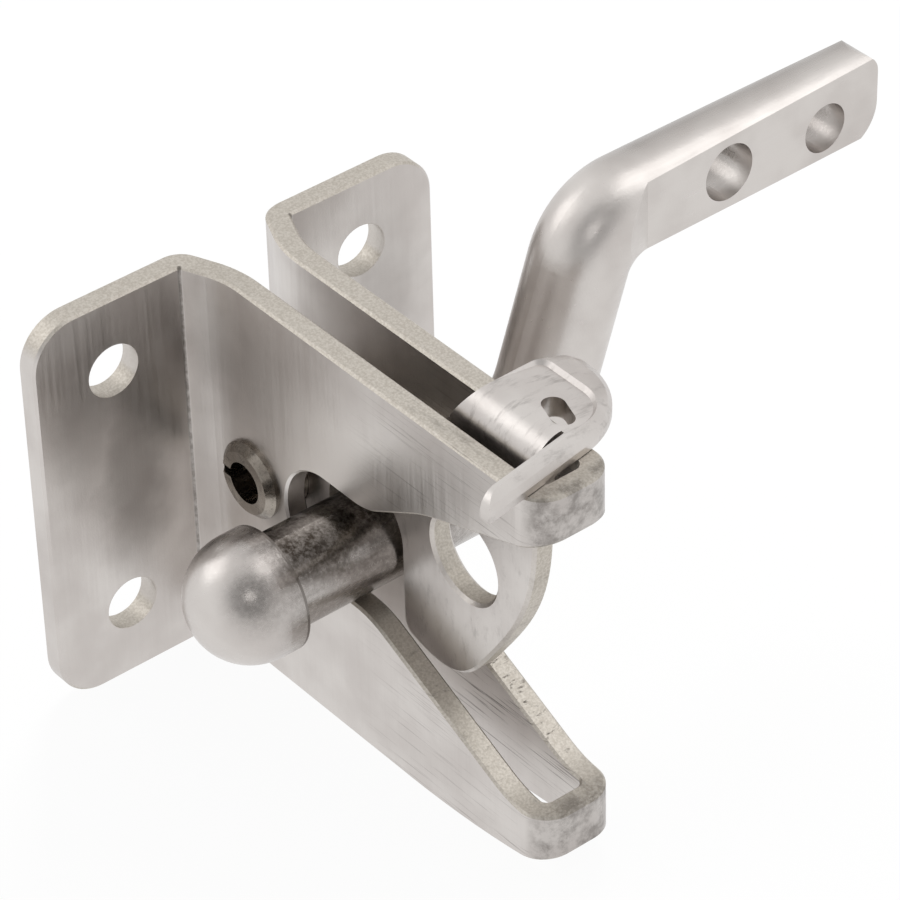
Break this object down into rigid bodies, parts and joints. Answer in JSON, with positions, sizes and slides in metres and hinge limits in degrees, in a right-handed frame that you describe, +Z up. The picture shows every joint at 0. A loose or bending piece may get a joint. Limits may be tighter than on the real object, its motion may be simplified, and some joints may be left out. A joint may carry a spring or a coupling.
{
  "type": "automatic gate latch",
  "caption": "Folded sheet latch bracket with a swinging self-locking pawl and a bent striker bar for the gate.",
  "frame": {"origin": "centre of the four post screw holes, on the post face", "axes": "+X out from the post towards the noses, +Y along the striker's pin towards its mounting arm, +Z up"},
  "size_m": [0.0643, 0.1047, 0.0618],
  "materials": {
    "bracket": "satin, tumbled stainless sheet",
    "pawl": "satin, tumbled stainless plate",
    "pivot_pin": "polished spring steel",
    "striker": "tumbled stainless bar"
  },
  "bodies": {
    "bracket": {"bracket": "bracket", "pivot_pin": "pivot_pin"},
    "pawl": {"pawl": "pawl"},
    "striker": {"striker": "striker"}
  },
  "joints": [
    {"name": "pawl_lift", "type": "hinge", "parent": "bracket", "child": "pawl", "pos_m": [0.012, 0, 0.0005], "axis": [0, -1, 0], "range_deg": [0, 60]},
    {"name": "striker_float", "type": "slide", "parent": "bracket", "child": "striker", "axis": [0, 1, 0], "range_m": [-0.006, 0.0095]}
  ]
}
